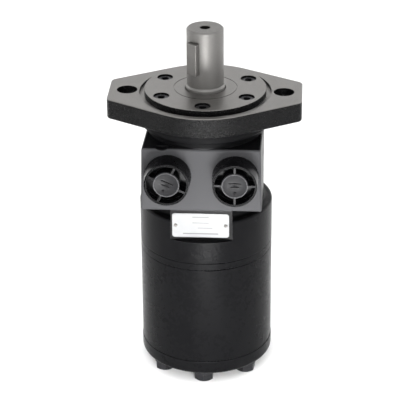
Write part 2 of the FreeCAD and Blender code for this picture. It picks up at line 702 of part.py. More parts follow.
def end_cover_washers():
    low = COVER_BACK - WASHER_THICKNESS
    washers = [cylinder(WASHER_R, low, COVER_BACK, x, y) for x, y, _ in bolt_spots()]
    holes = body_bolt_holes(BOLT_R + 0.2, low, COVER_BACK)
    return Part.makeCompound([washer.cut(hole) for washer, hole in zip(washers, holes)])


def end_cover_screws():
    """Seven long hexagon-head screws, as separate solids."""
    seat = COVER_BACK - WASHER_THICKNESS
    foot = seat - BOLT_HEAD_HEIGHT
    corner_r = BOLT_HEAD_AF / math.sqrt(3.0)
    outside = corner_r + 0.1
    crown = lathe([(0, foot, 0), (outside - 1.2, foot, 0), (outside, foot + 0.8, 0), (outside, seat, 0),
                   (0, seat, 0)])
    shank = lathe([(0, seat, 0), (BOLT_R, seat, 0), (BOLT_R, BOLT_TIP - 1.0, 0), (BOLT_R - 0.8, BOLT_TIP, 0),
                   (0, BOLT_TIP, 0)])
    screws = []
    for x, y, angle in bolt_spots():
        screw = crown.common(hexagon(BOLT_HEAD_AF, foot, seat, 0, 0, angle)).fuse(shank)
        screw.translate(V(x, y, 0))
        screws.append(screw)
    return Part.makeCompound(screws)


# ---- Name plate and plugs ----------------------------------------------------------------------
def rivet_x(side):
    return PLATE_MIDDLE_X + side * RIVET_X


def name_plate():
    left, right = PLATE_MIDDLE_X - PLATE_LENGTH / 2.0, PLATE_MIDDLE_X + PLATE_LENGTH / 2.0
    low, high = PLATE_Z - PLATE_HEIGHT / 2.0, PLATE_Z + PLATE_HEIGHT / 2.0
    corners = [(x, z, PLATE_CORNER_R) for x, z in ((left, low), (right, low), (right, high), (left, high))]
    wire = rounded_wire(corners, lambda x, z: V(x, PLATE_FLAT_Y, z))
    plate = Part.Face(wire).extrude(V(0, -PLATE_THICKNESS, 0))
    holes = [along_y(RIVET_SHANK_R, rivet_x(side), PLATE_Z, PLATE_FLAT_Y - 1, PLATE_FLAT_Y)
             for side in (-1, 1)]
    return plate.cut(holes)


def name_plate_rivets():
    """Two drive rivets with shallow domed heads."""
    surface = PLATE_FLAT_Y - PLATE_THICKNESS
    sphere_r = (RIVET_R ** 2 + RIVET_DOME ** 2) / (2.0 * RIVET_DOME)
    rivets = []
    for side in (-1, 1):
        x = rivet_x(side)
        head = Part.makeSphere(sphere_r, V(x, surface - RIVET_DOME + sphere_r, PLATE_Z))
        head = head.common(along_y(RIVET_R, x, PLATE_Z, surface - RIVET_DOME, surface))
        rivets.append(head.fuse(along_y(RIVET_SHANK_R, x, PLATE_Z, surface, PLATE_FLAT_Y + RIVET_DEPTH)))
    return Part.makeCompound(rivets)


def port_plug(side, turn_deg):
    """A plastic shipping plug: a cup with a hub and four ribs, and a spigot in the port's seat."""
    x = port_x(side)
    base = PORT_FACE_Y - PLUG_GAP
    front = base - PLUG_HEIGHT
    cup = Part.makeCone(PLUG_BASE_R, PLUG_FRONT_R, PLUG_HEIGHT, V(x, base, PORT_Z), V(0, -1, 0))
    well = Part.makeCone(PLUG_BASE_R - PLUG_WALL, PLUG_FRONT_R - PLUG_WALL, PLUG_HEIGHT - PLUG_FLOOR,
                         V(x, base - PLUG_FLOOR, PORT_Z), V(0, -1, 0))
    hub = along_y(PLUG_HUB_R, x, PORT_Z, front + PLUG_HUB_SINK, base - PLUG_FLOOR)
    ribs = []
    for i in range(PLUG_RIB_COUNT):
        rib = box(x + PLUG_HUB_R - 0.8, x + PLUG_FRONT_R - PLUG_WALL / 2.0,
                  front + PLUG_RIB_SINK, base - PLUG_FLOOR, PORT_Z - PLUG_RIB / 2.0, PORT_Z + PLUG_RIB / 2.0)
        rib.rotate(V(x, 0, PORT_Z), V(0, 1, 0), 360.0 * i / PLUG_RIB_COUNT + turn_deg)
        ribs.append(rib)
    spigot = along_y(PLUG_SPIGOT_R, x, PORT_Z, base, base + PLUG_SPIGOT_LENGTH)
    return cup.cut(well).fuse([hub, spigot] + ribs).removeSplitter()


def all_nodes():
    nodes = {
        "mounting_flange": mounting_flange(),
        "flange_screws": flange_screws(),
        "dust_seal": dust_seal(),
        "seal_washer": seal_washer(),
        "shaft_seal": shaft_seal(),
        "flange_o_ring": flange_o_ring(),
        "bearing_race_front": bearing_race_front(),
        "bearing_race_rear": bearing_race_rear(),
        "bearing_cage": bearing_cage(),
        "bearing_needles": bearing_needles(),
        "output_shaft": output_shaft(),
        "shaft_key": shaft_key(),
        "drive_link": drive_link(),
        "drive_spacer": drive_spacer(),
        "housing": housing(),
        "check_ball_left": check_ball(-1),
        "check_ball_right": check_ball(1),
        "housing_o_ring": o_ring(HOUSING_BACK),
        "spacer_plate": spacer_plate(),
        "ring_o_ring": o_ring(SPACER_BACK - O_RING_DEPTH),
        "geroler_ring": geroler_ring(),
        "geroler_star": geroler_star(),
        "cover_o_ring": o_ring(RING_BACK - O_RING_DEPTH),
        "end_cover": end_cover(),
        "end_cover_washers": end_cover_washers(),
        "end_cover_screws": end_cover_screws(),
        "name_plate": name_plate(),
        "name_plate_rivets": name_plate_rivets(),
        "port_plug_left": port_plug(-1, PLUG_TURN_DEG["left"]),
        "port_plug_right": port_plug(1, PLUG_TURN_DEG["right"]),
    }
    for i, roller in enumerate(rollers()):
        nodes[f"roller_{i + 1}"] = roller
    return nodes


os.makedirs("parts", exist_ok=True)
for name, shape in all_nodes().items():
    if not shape.isValid():
        raise RuntimeError(f"{name} is not a valid solid")
    shape.exportStep(f"parts/{name}.step")
    print(f"{name}: {len(shape.Solids)} solid(s), {shape.Volume / 1000.0:.2f} cm3")
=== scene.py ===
"""Looks of the orbit hydraulic motor: finishes, small surface detail, studio and camera.

Metres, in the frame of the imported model: the origin is the centre of the mounting face on the shaft's
axis, +Z points to the shaft's free end, and the ports face -Y.
"""
import bpy
import json
import math
from mathutils import Matrix, Vector


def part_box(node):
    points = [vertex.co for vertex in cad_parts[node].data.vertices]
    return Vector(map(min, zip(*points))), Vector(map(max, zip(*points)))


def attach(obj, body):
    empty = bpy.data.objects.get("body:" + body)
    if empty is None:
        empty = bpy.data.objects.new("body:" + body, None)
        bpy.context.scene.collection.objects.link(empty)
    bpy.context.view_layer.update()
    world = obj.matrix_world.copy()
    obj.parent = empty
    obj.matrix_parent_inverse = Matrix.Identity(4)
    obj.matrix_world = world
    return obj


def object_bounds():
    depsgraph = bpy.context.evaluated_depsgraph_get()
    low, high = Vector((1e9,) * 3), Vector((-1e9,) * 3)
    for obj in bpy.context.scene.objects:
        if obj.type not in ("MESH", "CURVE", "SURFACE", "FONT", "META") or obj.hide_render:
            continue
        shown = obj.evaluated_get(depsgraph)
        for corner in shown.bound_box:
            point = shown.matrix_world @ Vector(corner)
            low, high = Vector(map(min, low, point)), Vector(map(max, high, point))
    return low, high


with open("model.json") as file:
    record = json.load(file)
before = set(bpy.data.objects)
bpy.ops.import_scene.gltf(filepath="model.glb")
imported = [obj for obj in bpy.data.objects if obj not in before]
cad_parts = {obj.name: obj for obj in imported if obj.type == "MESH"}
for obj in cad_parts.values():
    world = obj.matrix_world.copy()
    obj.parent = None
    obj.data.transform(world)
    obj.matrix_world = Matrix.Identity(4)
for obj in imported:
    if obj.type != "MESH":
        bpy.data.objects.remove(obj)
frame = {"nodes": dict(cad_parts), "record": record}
CAD_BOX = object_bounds()
NODES = frame["nodes"]
MM = 0.001

# ---- Places, worked out from the frame ---------------------------------------------------------
MOUNTS = {mount["name"]: mount for mount in frame["record"]["mounts"]}
FLOOR_Z = CAD_BOX[0][2]
PLUG_SIDES = ("left", "right")
PLUG_LENGTH = 14.02 * MM
BLOCK_BELOW_PORTS = 25.3 * MM
BLOCK_ABOVE_PORTS = 19.8 * MM
PORT_Z = MOUNTS["port_left"]["pos_m"][2]
PORT_FACE_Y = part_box("port_plug_left")[0][1] + PLUG_LENGTH
BLOCK_LOW_Z = PORT_Z - BLOCK_BELOW_PORTS
BLOCK_HIGH_Z = PORT_Z + BLOCK_ABOVE_PORTS
NECK_LOW_Z = -25.2 * MM
RELIEF_R = 44.9 * MM
END_HOLE_R = 3.5 * MM

# ---- Camera ------------------------------------------------------------------------------------
CAMERA_PLACE = (0.06597, -1.09435, 0.45468)
CAMERA_DOWN = 0.4558
CAMERA_TURN = 0.0618
CAMERA_ROLL = -0.007
CAMERA_LENS = 157.4
CAMERA_SHIFT = (-0.009, 0.00125)


# ---- Node graph helpers ------------------------------------------------------------------------
def new_material(name, **sockets):
    """A material whose shader sockets are set directly, such as Metallic=1.0."""
    material = bpy.data.materials.new(name)
    material.use_nodes = True
    shader = material.node_tree.nodes["Principled BSDF"]
    for socket, value in sockets.items():
        shader.inputs[socket.replace("_", " ")].default_value = value
    return material


def add(tree, kind, inputs=None, **settings):
    """A node with its inputs set to values or linked to sockets."""
    node = tree.nodes.new("ShaderNode" + kind)
    for key, value in settings.items():
        setattr(node, key, value)
    for key, value in (inputs or {}).items():
        if isinstance(value, bpy.types.NodeSocket):
            tree.links.new(value, node.inputs[key])
        else:
            node.inputs[key].default_value = value
    return node


def math_node(tree, operation, a, b=0.0, clamp=False):
    return add(tree, "Math", {0: a, 1: b}, operation=operation, use_clamp=clamp).outputs[0]


def position(tree):
    return add(tree, "TexCoord").outputs["Object"]


def noise(tree, vector, size, detail=3.0, roughness=0.55, distortion=0.0):
    """Noise whose features are about size metres across."""
    return add(tree, "TexNoise", {"Vector": vector, "Scale": 1.0 / size, "Detail": detail,
                                  "Roughness": roughness, "Distortion": distortion}).outputs["Fac"]


def remap(tree, value, low, high, to_low, to_high):
    return add(tree, "MapRange", {"Value": value, "From Min": low, "From Max": high,
                                  "To Min": to_low, "To Max": to_high}).outputs["Result"]


def blend_colours(tree, factor, first, second):
    node = add(tree, "Mix", {"Factor": factor}, data_type="RGBA")
    for index, colour in ((6, first), (7, second)):
        if isinstance(colour, bpy.types.NodeSocket):
            tree.links.new(colour, node.inputs[index])
        else:
            node.inputs[index].default_value = (*colour, 1.0)
    return node.outputs[2]


def blend_values(tree, factor, first, second):
    return add(tree, "Mix", {0: factor, 2: first, 3: second}, data_type="FLOAT").outputs[0]


def rounded_normal(tree, radius):
    """The surface's normal with its sharp edges softened."""
    return add(tree, "Bevel", {"Radius": radius}, samples=4).outputs["Normal"]


def bump(tree, height, strength, depth, normal=None):
    inputs = {"Height": height, "Strength": strength, "Distance": depth}
    if normal is not None:
        inputs["Normal"] = normal
    return add(tree, "Bump", inputs).outputs["Normal"]


def edge_wear(tree, radius, amount):
    """Near 1 on sharp edges, and 0 on flat and gently curved faces."""
    soft = add(tree, "Bevel", {"Radius": radius}, samples=4).outputs["Normal"]
    hard = add(tree, "NewGeometry").outputs["Normal"]
    likeness = add(tree, "VectorMath", {0: soft, 1: hard}, operation="DOT_PRODUCT").outputs["Value"]
    return remap(tree, likeness, 0.995, 0.80, 0.0, amount)


def around_axis(tree, vector, along, about):
    """Coordinates for marks left by turning: across the grooves, and slowly round the axis."""
    parts = add(tree, "SeparateXYZ", {0: vector})
    x, y, z = parts.outputs
    radius = math_node(tree, "SQRT", math_node(tree, "ADD", math_node(tree, "MULTIPLY", x, x),
                                               math_node(tree, "MULTIPLY", y, y)))
    angle = math_node(tree, "ARCTAN2", y, x)
    across = {"radius": radius, "height": z}[along]
    around = math_node(tree, "MULTIPLY", angle, about)
    return add(tree, "CombineXYZ", {0: across, 1: around, 2: 0.0}).outputs[0]


def from_axis(tree, vector):
    """Distance from the z axis."""
    x, y, _ = add(tree, "SeparateXYZ", {0: vector}).outputs
    flat = add(tree, "CombineXYZ", {0: x, 1: y}).outputs[0]
    return add(tree, "VectorMath", {0: flat}, operation="LENGTH").outputs["Value"]


def connect(material, **sockets):
    """Links sockets of the graph to the shader's inputs."""
    tree = material.node_tree
    for name, socket in sockets.items():
        tree.links.new(socket, tree.nodes["Principled BSDF"].inputs[name.replace("_", " ")])
    return material


# ---- Finishes ----------------------------------------------------------------------------------
def black_paint(name, roughness, cast_depth, cast_size, specular):
    """Black paint over cast iron: orange peel on top of the casting's grain, thin on sharp edges."""
    material = new_material(name, Specular_IOR_Level=specular)
    tree = material.node_tree
    here = position(tree)
    mottle = noise(tree, here, 0.022, 4.0)
    grain = noise(tree, here, cast_size, 5.0, 0.62)
    peel = noise(tree, here, 0.0016, 2.0)
    wear = edge_wear(tree, 0.0004, 0.35)
    colour = blend_colours(tree, mottle, (0.0025, 0.0025, 0.0030), (0.0055, 0.0055, 0.0060))
    colour = blend_colours(tree, wear, colour, (0.05, 0.05, 0.052))
    rough = math_node(tree, "ADD", remap(tree, mottle, 0.3, 0.7, roughness - 0.03, roughness + 0.04),
                      remap(tree, grain, 0.3, 0.7, -0.03, 0.05))
    normal = bump(tree, peel, 0.12, 0.00006, rounded_normal(tree, 0.0004))
    normal = bump(tree, grain, 1.0, cast_depth, normal)
    return connect(material, Base_Color=colour, Roughness=rough, Normal=normal)


def housing_finish():
    """Satin black casting: greyer on the port face, partly its smoother machined finish and partly a painted
    reflection; rough under the plate, duller round the neck.
    """
    material = new_material("casting_finish", Specular_IOR_Level=0.06)
    tree = material.node_tree
    here = position(tree)
    x, y, z = add(tree, "SeparateXYZ", {0: here}).outputs
    on_face = remap(tree, y, PORT_FACE_Y + 1.6 * MM, PORT_FACE_Y + 1.2 * MM, 0.0, 1.0)
    in_band = math_node(tree, "MULTIPLY", remap(tree, z, BLOCK_LOW_Z - 0.5 * MM, BLOCK_LOW_Z, 0.0, 1.0),
                        remap(tree, z, BLOCK_HIGH_Z, BLOCK_HIGH_Z + 0.5 * MM, 1.0, 0.0))
    face = math_node(tree, "MULTIPLY", on_face, in_band)
    patch_x = math_node(tree, "ABSOLUTE", math_node(tree, "ADD", x, 0.001))
    patch = math_node(tree, "MULTIPLY", remap(tree, patch_x, 0.012, 0.024, 1.0, 0.0),
                      math_node(tree, "MULTIPLY", remap(tree, z, -0.089, -0.093, 0.0, 1.0),
                                remap(tree, y, -0.034, -0.042, 0.0, 1.0)))
    mottle = noise(tree, here, 0.020, 4.0)
    grain = noise(tree, here, 0.0024, 5.0, 0.65)
    coarse = noise(tree, here, 0.0048, 4.0, 0.6, 0.8)
    peel = noise(tree, here, 0.0014, 2.0)
    colour = blend_colours(tree, mottle, (0.0025, 0.0025, 0.0030), (0.0055, 0.0055, 0.0060))
    # The port face's grey is partly the machined face's own tone and partly a painted reflection.
    colour = blend_colours(tree, face, colour, (0.058, 0.058, 0.061))
    colour = blend_colours(tree, edge_wear(tree, 0.0004, 0.4), colour, (0.06, 0.06, 0.062))
    rough = math_node(tree, "ADD", remap(tree, mottle, 0.3, 0.7, 0.27, 0.34),
                      math_node(tree, "MULTIPLY", face, 0.16))
    rough_patch = math_node(tree, "MULTIPLY", patch, 1.6)
    body_grain = math_node(tree, "MULTIPLY", grain, math_node(tree, "SUBTRACT", 0.35, math_node(
        tree, "MULTIPLY", face, 0.25)))
    height = math_node(tree, "ADD", body_grain, math_node(tree, "MULTIPLY", coarse, rough_patch))
    normal = bump(tree, peel, 0.10, 0.00006, rounded_normal(tree, 0.0004))
    normal = bump(tree, height, 1.0, 0.00030, normal)
    neck = remap(tree, z, NECK_LOW_Z, NECK_LOW_Z + 0.7 * MM, 0.0, 1.0)
    rough = math_node(tree, "ADD", rough, math_node(tree, "MULTIPLY", neck, 0.25))
    return connect(material, Base_Color=colour, Roughness=rough, Normal=normal)


def machined_parts(tree, here, along, fine, dark, light):
    """Colour, roughness and height of steel that was turned on a lathe."""
    rings = noise(tree, around_axis(tree, here, along, 0.0022), fine, 2.0)
    bands = noise(tree, around_axis(tree, here, along, 0.006), fine * 9.0, 2.0)
    stain = noise(tree, here, 0.016, 4.0, 0.6)
    colour = blend_colours(tree, stain, dark, light)
    rough = math_node(tree, "ADD", remap(tree, rings, 0.3, 0.7, -0.04, 0.05),
                      remap(tree, stain, 0.3, 0.7, -0.02, 0.03))
    height = math_node(tree, "ADD", rings, math_node(tree, "MULTIPLY", bands, 0.6))
    return colour, rough, height


FLANGE_DARK, FLANGE_LIGHT = (0.170, 0.164, 0.157), (0.225, 0.218, 0.210)


def flange_finish():
    """Bare turned steel on the faces that look up and on the groove's floor; black elsewhere: paint on the
    cast faces, and painted shade on the machined side walls of the pilot and the counterbores.
    """
    material = new_material("flange_finish", Specular_IOR_Level=0.12)
    tree = material.node_tree
    here = position(tree)
    steel_colour, steel_rough, steel_height = machined_parts(
        tree, here, "radius", 0.00035, FLANGE_DARK, FLANGE_LIGHT)
    height = add(tree, "SeparateXYZ", {0: here}).outputs["Z"]
    ragged = math_node(tree, "MULTIPLY", math_node(tree, "SUBTRACT", noise(tree, here, 0.002), 0.5), 0.0005)
    high = remap(tree, math_node(tree, "ADD", height, ragged), -0.0007, -0.0005, 0.0, 1.0)
    relief = remap(tree, from_axis(tree, here), RELIEF_R, RELIEF_R + 0.1 * MM, 1.0, 0.0)
    high = math_node(tree, "MAXIMUM", high, relief)
    # Machined faces that do not look up, such as the pilot's side wall, get the black paint colour: painted
    # shade.
    upward = add(tree, "SeparateXYZ", {0: add(tree, "NewGeometry").outputs["True Normal"]}).outputs["Z"]
    bare_steel_except_shaded_walls = math_node(tree, "MULTIPLY", high, remap(tree, upward, 0.3, 0.5, 0.0, 1.0))
    grain = noise(tree, here, 0.0016, 6.0, 0.72)
    speckle = noise(tree, here, 0.0009, 2.0, 0.5)
    cloud = noise(tree, here, 0.012, 3.0)
    paint = blend_colours(tree, cloud, (0.0012, 0.0012, 0.0014), (0.0030, 0.0030, 0.0032))
    paint_rough = remap(tree, speckle, 0.35, 0.65, 0.22, 0.38)
    colour = blend_colours(tree, bare_steel_except_shaded_walls, paint, steel_colour)
    rough = blend_values(tree, bare_steel_except_shaded_walls, paint_rough, math_node(tree, "ADD", steel_rough, 0.39))
    normal = rounded_normal(tree, 0.0003)
    normal = bump(tree, steel_height, 0.10, 0.00003, normal)
    depth = math_node(tree, "MULTIPLY", grain, math_node(tree, "SUBTRACT", 1.0, bare_steel_except_shaded_walls))
    normal = bump(tree, depth, 1.0, 0.0005, normal)
    return connect(material, Base_Color=colour, Metallic=bare_steel_except_shaded_walls, Roughness=rough, Normal=normal)


def turned_steel(name, roughness, along, fine, strength=0.10):
    """Bare turned or ground steel with faint rings and stains, coloured near black inside the end hole."""
    material = new_material(name, Metallic=1.0)
    tree = material.node_tree
    dark, light = (0.160, 0.156, 0.149), (0.210, 0.205, 0.198)
    here = position(tree)
    colour, rough, height = machined_parts(tree, here, along, fine, dark, light)
    # Near black within the end hole's radius of the axis.
    in_end_hole = remap(tree, from_axis(tree, here), END_HOLE_R + 0.1 * MM, END_HOLE_R - 0.1 * MM, 0.0, 1.0)
    colour = blend_colours(tree, in_end_hole, colour, (0.012, 0.011, 0.010))
    normal = bump(tree, height, strength, 0.00002, rounded_normal(tree, 0.0003))
    rough = math_node(tree, "ADD", rough, roughness)
    return connect(material, Base_Color=colour, Roughness=rough, Normal=normal)


def plain_steel(name, dark, light, roughness):
    """Drawn, lapped or blackened steel with a fine even grain."""
    material = new_material(name, Metallic=1.0)
    tree = material.node_tree
    here = position(tree)
    grain = noise(tree, here, 0.0007, 4.0, 0.6)
    stain = noise(tree, here, 0.006, 3.0)
    colour = blend_colours(tree, stain, dark, light)
    wear = edge_wear(tree, 0.0003, 0.5)
    colour = blend_colours(tree, wear, colour, tuple(min(1.0, c * 1.8 + 0.05) for c in light))
    rough = remap(tree, grain, 0.3, 0.7, roughness - 0.05, roughness + 0.07)
    normal = bump(tree, grain, 0.15, 0.00002, rounded_normal(tree, 0.0003))
    return connect(material, Base_Color=colour, Roughness=rough, Normal=normal)


def rubber():
    material = new_material("seal_rubber_finish", Specular_IOR_Level=0.35)
    tree = material.node_tree
    here = position(tree)
    bloom = noise(tree, here, 0.004, 4.0)
    fine = noise(tree, here, 0.0004, 3.0)
    colour = blend_colours(tree, bloom, (0.010, 0.010, 0.010), (0.024, 0.023, 0.022))
    rough = remap(tree, fine, 0.3, 0.7, 0.55, 0.72)
    return connect(material, Base_Color=colour, Roughness=rough, Normal=bump(tree, fine, 0.2, 0.00003))


def plug_plastic():
    """Black moulding, greyed by handling along its edges."""
    material = new_material("plug_plastic_finish", Specular_IOR_Level=0.06)
    tree = material.node_tree
    here = position(tree)
    flow = noise(tree, here, 0.005, 4.0, 0.6, 1.2)
    scuff = noise(tree, here, 0.0009, 4.0, 0.7)
    wear = math_node(tree, "MULTIPLY", edge_wear(tree, 0.0006, 1.0), remap(tree, scuff, 0.3, 0.6, 0.4, 1.0))
    colour = blend_colours(tree, flow, (0.0025, 0.0025, 0.003), (0.005, 0.005, 0.0055))
    colour = blend_colours(tree, wear, colour, (0.05, 0.05, 0.052))
    rough = math_node(tree, "ADD", remap(tree, flow, 0.3, 0.7, 0.20, 0.30),
                      math_node(tree, "MULTIPLY", wear, 0.18))
    normal = bump(tree, flow, 0.08, 0.00012, rounded_normal(tree, 0.0005))
    return connect(material, Base_Color=colour, Roughness=rough, Normal=normal)


def plug_face_plastic(name, dark, light, specular):
    """The same moulding in a greyer tone; where it is used lighter, on the rim bead and the hub's lip, the
    grey is a painted highlight.
    """
    material = new_material(name, Specular_IOR_Level=specular)
    tree = material.node_tree
    here = position(tree)
    flow = noise(tree, here, 0.004, 4.0, 0.6, 1.2)
    scuff = noise(tree, here, 0.0008, 4.0, 0.7)
    colour = blend_colours(tree, scuff, dark, light)
    rough = remap(tree, scuff, 0.3, 0.7, 0.30, 0.46)
    normal = bump(tree, flow, 0.3, 0.0003, rounded_normal(tree, 0.0004))
    return connect(material, Base_Color=colour, Roughness=rough, Normal=normal)


def plate_aluminium():
    """Pale aluminium with a fine brushed grain along its length."""
    material = new_material("plate_finish")
    tree = material.node_tree
    here = position(tree)
    stretched = add(tree, "VectorMath", {0: here, 1: (0.06, 1.0, 1.0)}, operation="MULTIPLY").outputs[0]
    brush = noise(tree, stretched, 0.0004, 3.0)
    haze = noise(tree, here, 0.009, 3.0)
    colour = blend_colours(tree, haze, (0.21, 0.213, 0.217), (0.25, 0.254, 0.258))
    rough = remap(tree, brush, 0.3, 0.7, 0.38, 0.52)
    normal = bump(tree, brush, 0.1, 0.00002, rounded_normal(tree, 0.0002))
    return connect(material, Base_Color=colour, Roughness=rough, Normal=normal)


def plate_ink():
    """Grey print, a little uneven."""
    material = new_material("plate_ink_finish")
    tree = material.node_tree
    patchy = noise(tree, position(tree), 0.0008, 3.0)
    colour = blend_colours(tree, patchy, (0.08, 0.083, 0.089), (0.13, 0.134, 0.14))
    return connect(material, Base_Color=colour, Roughness=remap(tree, patchy, 0.3, 0.7, 0.45, 0.6))


FINISHES = {
    "flange": flange_finish(),
    "casting": housing_finish(),
    "machined_black": black_paint("machined_black_finish", 0.27, 0.00004, 0.0035, 0.06),
    "shaft": turned_steel("shaft_finish", 0.50, "height", 0.00045),
    "lathe_faced": turned_steel("lathe_faced_finish", 0.30, "radius", 0.0003),
    "key": plain_steel("key_finish", (0.160, 0.155, 0.148), (0.205, 0.200, 0.192), 0.50),
    "bearing": plain_steel("bearing_finish", (0.48, 0.48, 0.49), (0.60, 0.60, 0.61), 0.18),
    "black_oxide": plain_steel("black_oxide_finish", (0.030, 0.030, 0.032), (0.060, 0.060, 0.064), 0.36),
    "rubber": rubber(),
    "plug": plug_plastic(),
    "plug_face": plug_face_plastic("plug_face_finish", (0.005, 0.005, 0.0055), (0.022, 0.022, 0.024), 0.10),
    # A lighter copy of the plug's plastic for the rim bead and the hub's lip: a painted highlight.
    "plug_rim": plug_face_plastic("plug_rim_finish", (0.025, 0.025, 0.027), (0.090, 0.090, 0.095), 0.30),
    "plate": plate_aluminium(),
    "ink": plate_ink(),
}

NODE_FINISH = {
    "mounting_flange": "flange",
    "housing": "casting",
    "spacer_plate": "machined_black", "geroler_ring": "machined_black", "end_cover": "machined_black",
    "output_shaft": "shaft", "drive_link": "shaft",
    "geroler_star": "lathe_faced", "drive_spacer": "lathe_faced",
    "shaft_key": "key",
    "flange_screws": "black_oxide", "end_cover_screws": "black_oxide", "end_cover_washers": "black_oxide",
    "port_plug_left": "plug", "port_plug_right": "plug",
    "name_plate": "plate", "name_plate_rivets": "key",
}
SLOT_FINISH = {"bearing_steel": "bearing", "seal_rubber": "rubber"}


def finish_nodes():
    """Gives every CAD node its finish."""
    slots = {row["node"]: row["material_slot"] for row in frame["record"]["subparts"]}
    for name, node in NODES.items():
        finish = NODE_FINISH.get(name) or SLOT_FINISH[slots[name]]
        for slot in node.material_slots:
            slot.material = FINISHES[finish]


# ---- Mesh helpers ------------------------------------------------------------------------------
def piece(name, mesh, finish, body, smooth=True):
    """A new object that rides on a body."""
    obj = bpy.data.objects.new(name, mesh)
    bpy.context.scene.collection.objects.link(obj)
    mesh.materials.append(FINISHES[finish])
    for polygon in mesh.polygons:
        polygon.use_smooth = smooth
    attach(obj, body)
    return obj


def mesh_from(name, verts, faces):
    mesh = bpy.data.meshes.new(name)
    mesh.from_pydata(verts, [], faces)
    mesh.update()
    return mesh


def lathe_mesh(name, profile, place, steps=96):
    """A closed profile of (radius, height) points turned about an axis; place maps local to the frame."""
    count = len(profile)
    verts, faces = [], []
    for i in range(steps):
        angle = 2.0 * math.pi * i / steps
        for radius, height in profile:
            verts.append(place @ Vector((radius * math.cos(angle), radius * math.sin(angle), height)))
        for j in range(count):
            a, b = i * count + j, i * count + (j + 1) % count
            c, d = ((i + 1) % steps) * count + (j + 1) % count, ((i + 1) % steps) * count + j
            faces.append((a, b, c, d))
    return mesh_from(name, verts, faces)


def rounded_bar(name, half_long, half_wide, height, place, rounding, steps=6):
    """A flat bar with rounded corners whose top edge is eased, standing on local z = 0."""
    outline = []
    for sx, sy, first in ((1, 1, 0), (-1, 1, 1), (-1, -1, 2), (1, -1, 3)):
        for i in range(steps + 1):
            angle = math.pi / 2.0 * (first + i / steps)
            outline.append((sx * (half_long - rounding) + rounding * math.cos(angle),
                            sy * (half_wide - rounding) + rounding * math.sin(angle)))
    ease = min(height, rounding) * 0.5
    shrink_x, shrink_y = 1.0 - ease / half_long, 1.0 - ease / half_wide
    levels = ((0.0, 1.0, 1.0), (height - ease, 1.0, 1.0), (height, shrink_x, shrink_y))
    verts = [place @ Vector((x * kx, y * ky, z)) for z, kx, ky in levels for x, y in outline]
    count = len(outline)
    faces = [tuple(range(count))[::-1], tuple(range(2 * count, 3 * count))]
    for level in range(2):
        for i in range(count):
            j = (i + 1) % count
            low, high = level * count, (level + 1) * count
            faces.append((low + i, low + j, high + j, high + i))
    return mesh_from(name, verts, faces)


def helix_mesh(name, radius, depth, pitch, length, place, per_turn=40):
    """An inside thread's V-shaped ridge winding along local z and standing towards the axis."""
    turns = length / pitch
    steps = int(turns * per_turn)
    verts, faces = [], []
    for i in range(steps + 1):
        angle = 2.0 * math.pi * turns * i / steps
        height = length * i / steps
        fade = min(1.0, i / 12.0, (steps - i) / 12.0)
        section = ((0.0, -0.42), (depth * fade, -0.06), (depth * fade, 0.06), (0.0, 0.42))
        for rise, offset in section:
            r = radius - rise
            verts.append(place @ Vector((r * math.cos(angle), r * math.sin(angle), height + offset * pitch)))
    for i in range(steps):
        for j in range(4):
            k = (j + 1) % 4
            faces.append((4 * i + j, 4 * i + k, 4 * i + 4 + k, 4 * i + 4 + j))
    faces += [(0, 1, 2, 3)[::-1], tuple(4 * steps + j for j in range(4))]
    return mesh_from(name, verts, faces)


# ---- Small detail ------------------------------------------------------------------------------
def facing_front(x, y, z, turn=0.0):
    """Local z points to -Y, local x to +X and local y to +Z, turned about local z."""
    axes = Matrix(((1, 0, 0), (0, 0, -1), (0, 1, 0))).to_4x4()
    return Matrix.Translation((x, y, z)) @ axes @ Matrix.Rotation(turn, 4, "Z")


PLUG_HUB_R = 8.8 * MM
PLUG_HUB_SINK = 1.6 * MM
PLUG_TURN = {"left": math.radians(-25.0), "right": 0.0}
PLUG_RIM_R = 14.9 * MM
DISH_R = 8.0
DISH_RISE = 1.05


